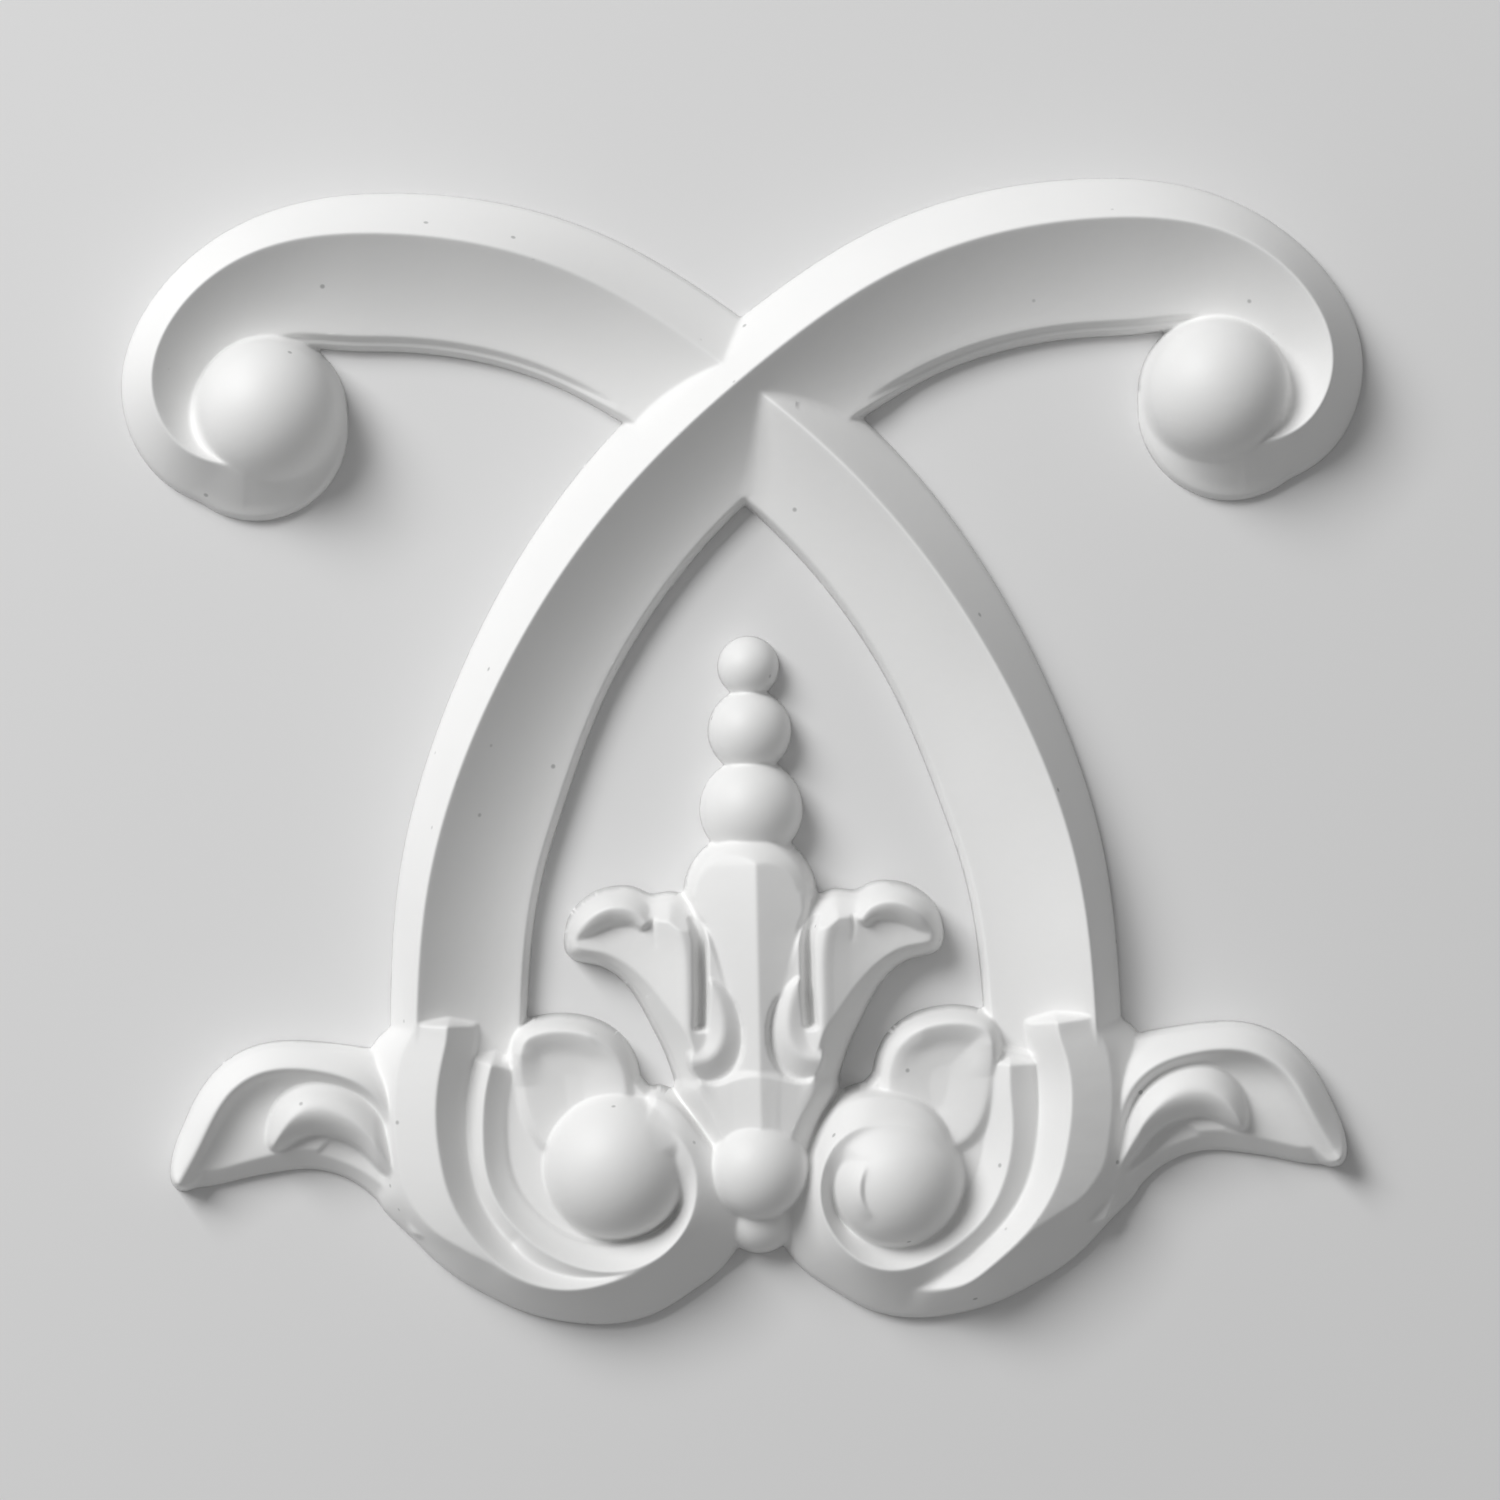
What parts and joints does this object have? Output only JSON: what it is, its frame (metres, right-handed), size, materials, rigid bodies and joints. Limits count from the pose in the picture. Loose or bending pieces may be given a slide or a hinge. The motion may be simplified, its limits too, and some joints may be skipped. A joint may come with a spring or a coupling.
{
  "type": "crossed scroll moulding ornament",
  "caption": "Flat-backed cast plaster relief ornament: two ridged straps cross into scrolls above a beaded tulip, paired volutes and leaf sprigs.",
  "frame": {"origin": "on the flat back, on the ornament's line of symmetry at half its height up the face", "axes": "+X across the face to the viewer's right, +Y up the face towards the scrolls, +Z out of the face; the back lies on Z = 0"},
  "size_m": [0.1508, 0.1379, 0.0126],
  "materials": {
    "plaster": "smooth matt cast plaster"
  },
  "bodies": {
    "root": {"crown_casting": "plaster"}
  },
  "joints": []
}
